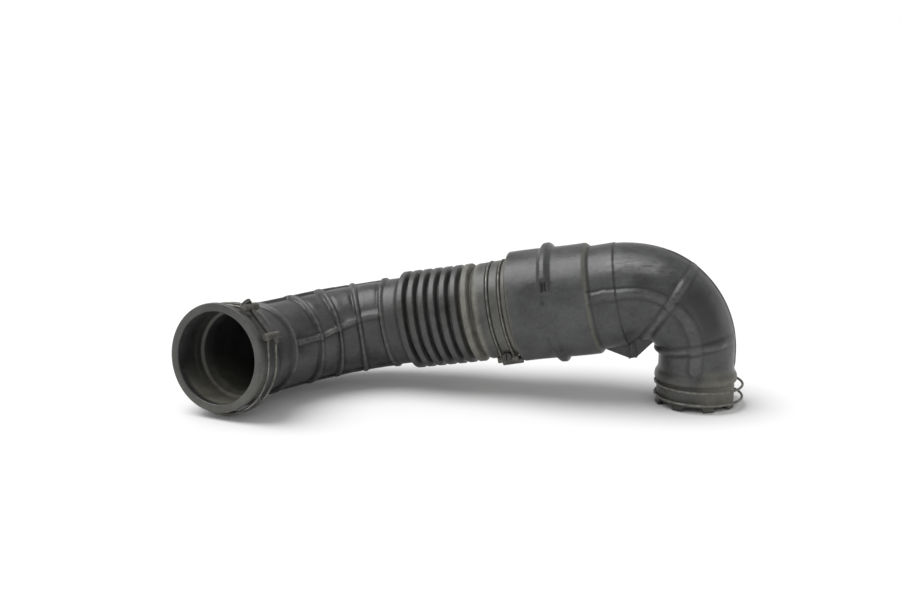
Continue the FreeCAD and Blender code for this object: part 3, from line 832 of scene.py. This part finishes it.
def addKeel(mesh):
    k = keel
    bm = bmesh.new()
    bottom = -duct["tubeR"] - k["depth"]
    root = -duct["tubeR"] + k["overlap"]
    back = duct["tubeLength"] - k["overlap"] / 2
    front = back - k["length"]
    tip = back - k["length"] * k["tipShare"]
    outline = [(back, root), (back, -duct["collarR"]), (tip, bottom), (tip - k["ridgePitch"], bottom)]
    outline += [(front, -duct["tubeR"] - k["overlap"] / 2), (front, root)]
    prism(bm, outline, k["width"] / 2)
    for place in (tip, tip - k["ridgePitch"]):
        left = place - k["ridgeWidth"] / 2
        right = place + k["ridgeWidth"] / 2
        upright = [(right, root), (right, bottom), (left, bottom), (left, root)]
        prism(bm, upright, k["width"] / 2 + k["ridgeHeight"])
    bmesh.ops.recalc_face_normals(bm, faces=bm.faces)
    rounding = {"offset": k["rounding"] * mm, "segments": k["roundSteps"], "affect": "EDGES", "profile": 0.5}
    bmesh.ops.bevel(bm, geom=bm.edges[:], **rounding)
    web = bpy.data.meshes.new("keel")
    bm.to_mesh(web)
    bm.clear()
    bm.from_mesh(mesh)
    bm.from_mesh(web)
    bm.to_mesh(mesh)
    bm.free()


ductMesh = tubeWall("elbowDuct", ductOuter(), ductInner(), ductFrame, ductRelief, ductMarks, ductAngles())
addKeel(ductMesh)
addPiece("elbowDuct", ductMesh, ductRubber, "elbow_duct")

# clamp wires as round wire; screws, barrels and nuts keep their solids
clamps = {
    "wireR": 0.95, "clearance": 0.05, "spacing": hose["wireSpacing"], "barrelR": 2.8, "barrelClearance": 0.3,
    "solidChords": 24, "chords": 72, "tailSteps": 8, "sides": 10,  # the solids' hoops are chains of chords
    "joint": {"seatR": hose["seatR"], "crownR": hose["cuffR"], "gap": 70.0, "turn": -68.0,
              "slack": 0.0, "hang": 0.0},
    "mouth": {"seatR": hose["mouthSeatR"], "crownR": hose["mouthSeatR"], "gap": 84.0, "turn": 33.0,
              "slack": 2.15, "hang": -105.0},
    "outlet": {"seatR": duct["seatR"], "crownR": duct["seatR"], "gap": 84.0, "turn": 180.0,
               "slack": 2.6, "hang": 80.0},
}
firstSeat = hose["start"] + hose["lipWidth"] + hose["seatWidth"] / 2
mouthSeat = hose["mouthLength"] - hose["mouthLipWidth"] - hose["mouthSeatWidth"] / 2
outletSeat = (duct["lugHeight"] + duct["seatLength"]) / 2
clamps["joint"]["base"] = along(runFrame, firstSeat + clamps["spacing"] / 2)
clamps["mouth"]["base"] = along(mouthFrame, mouthSeat)
clamps["outlet"]["base"] = along(elbowFrame(0), outletSeat - route["outletRise"])


def polar(angle, radius):
    return Vector((0, radius * math.cos(math.radians(angle)), radius * math.sin(math.radians(angle))))


# one hoop: a straight tail, the arc and the other tail, in the plane across the cuff
def hoopPath(c):
    half = c["gap"] / 2
    arc = 360 - c["gap"]
    hoopR = c["seatR"] + clamps["clearance"] + c["slack"] + clamps["wireR"]
    chordR = hoopR / math.cos(math.radians(arc / clamps["solidChords"] / 2))
    barrelSeat = c["crownR"] + c["slack"] + clamps["barrelR"] + clamps["barrelClearance"]
    sine = math.sin(math.radians(half))
    cosine = math.cos(math.radians(half))
    tail = (barrelSeat - chordR * cosine) / sine
    steps = clamps["tailSteps"]
    chords = clamps["chords"]
    inwards = Vector((0, sine, -cosine))
    outwards = Vector((0, sine, cosine))
    path = [polar(half, chordR) + inwards * tail * (1 - t / steps) for t in range(steps)]
    path += [polar(half + arc * t / chords, hoopR if 0 < t < chords else chordR) for t in range(chords + 1)]
    return path + [polar(-half, chordR) + outwards * tail * t / steps for t in range(1, steps + 1)]


def wireRings(path, radius, sides):
    rings = []
    axis = Vector((1, 0, 0))
    for i, point in enumerate(path):
        ahead = (path[min(i + 1, len(path) - 1)] - path[max(i - 1, 0)]).normalized()
        side = axis.cross(ahead)
        around = [2 * math.pi * k / sides for k in range(sides)]
        rings.append([point + (axis * math.cos(a) + side * math.sin(a)) * radius for a in around])
    return rings


def addWires(name):
    c = clamps[name]
    sides = clamps["sides"]
    bm = bmesh.new()
    hang = Matrix.Translation(polar(c["hang"] - c["turn"], c["slack"]))
    seat = c["base"] @ Matrix.Rotation(math.radians(c["turn"]), 4, "X") @ hang
    for place in (-clamps["spacing"] / 2, clamps["spacing"] / 2):
        path = [point + Vector((place, 0, 0)) for point in hoopPath(c)]
        tube = wireRings(path, clamps["wireR"], sides)
        rings = [[bm.verts.new(seat @ point * mm) for point in ring] for ring in tube]
        for near, far in zip(rings, rings[1:]):
            for k in range(sides):
                n = (k + 1) % sides
                bm.faces.new([near[k], near[n], far[n], far[k]])
        bm.faces.new(rings[0][::-1])
        bm.faces.new(rings[-1])
    bmesh.ops.recalc_face_normals(bm, faces=bm.faces)
    for face in bm.faces:
        face.smooth = len(face.verts) == 4
    mesh = bpy.data.meshes.new(name + "Wires")
    bm.to_mesh(mesh)
    bm.free()
    addPiece(name + "Wires", mesh, wireSteel, name + "_clamp_wires")


for clampName in ("joint", "mouth", "outlet"):
    addWires(clampName)

nodeFinish = {"_screw": screwSteel, "_barrel": fittingSteel, "_nut": fittingSteel}
for nodeName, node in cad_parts.items():
    for ending, material in nodeFinish.items():
        if nodeName.endswith(ending):
            node.data.materials.clear()
            node.data.materials.append(material)
print("clamps ready")

# pale floor in metres, soft light from above and the camera
stage = {
    "floorSize": 80.0, "floorPale": (0.86, 0.86, 0.86), "floorCloud": (0.82, 0.82, 0.82),
    "cloudNoise": (3.0, 3.0, 0.55), "floorRough": 0.8,
    "lampStrength": 2.55, "lampSpread": 48.0, "lampTilt": (-4.0, -24.0, 0.0),
    "sky": (0.56, 0.56, 0.56), "skyLine": (1.0, 1.0, 1.0), "skyFade": (0.1, 0.4),
    "cameraPlace": (-193.7, -900.7, 291.6), "pitchDown": 13.16, "turnRight": 0.24,
    "focusPixels": 1214.0, "imageWidth": 900, "sensor": 36.0,
}


def addFloor():
    half = stage["floorSize"] / 2
    corners = [(-half, -half, 0), (half, -half, 0), (half, half, 0), (-half, half, 0)]
    mesh = bpy.data.meshes.new("floor")
    mesh.from_pydata(corners, [], [(0, 1, 2, 3)])
    floor = bpy.data.objects.new("floor", mesh)
    bpy.context.scene.collection.objects.link(floor)
    material, shader, coords = startMaterial("paleFloor")
    cloud = noise(coords, *stage["cloudNoise"])
    colour = mixColour(cloud, stage["floorCloud"], stage["floorPale"])
    feed(coords.tree, shader.inputs["Base Color"], colour)
    shader.inputs["Roughness"].default_value = stage["floorRough"]
    mesh.materials.append(material)


def addLight():
    data = bpy.data.lights.new("overhead", "SUN")
    data.energy = stage["lampStrength"]
    data.angle = math.radians(stage["lampSpread"])
    lamp = bpy.data.objects.new("overhead", data)
    lamp.rotation_euler = [math.radians(tilt) for tilt in stage["lampTilt"]]
    bpy.context.scene.collection.objects.link(lamp)


def addSky():
    world = bpy.data.worlds.new("paleRoom")
    bpy.context.scene.world = world
    world.use_nodes = True
    tree = world.node_tree
    coords = tree.nodes.new("ShaderNodeTexCoord")
    direction = Sock(tree, coords.outputs["Generated"])
    height = direction.node("ShaderNodeSeparateXYZ", None, {0: direction}, 2)
    up = ramp(height, *stage["skyFade"])  # as pale as the floor where they meet
    feed(tree, tree.nodes["Background"].inputs["Color"], mixColour(up, stage["skyLine"], stage["sky"]))


def addCamera():
    data = bpy.data.cameras.new("camera")
    data.sensor_width = stage["sensor"]
    data.lens = stage["sensor"] * stage["focusPixels"] / stage["imageWidth"]
    camera = bpy.data.objects.new("camera", data)
    camera.location = Vector(stage["cameraPlace"]) * mm
    camera.rotation_euler = (math.radians(90 - stage["pitchDown"]), 0, math.radians(-stage["turnRight"]))
    bpy.context.scene.collection.objects.link(camera)
    bpy.context.scene.camera = camera


addFloor()
addLight()
addSky()
addCamera()
bpy.context.scene.view_settings.view_transform = "Standard"
print("stage ready")
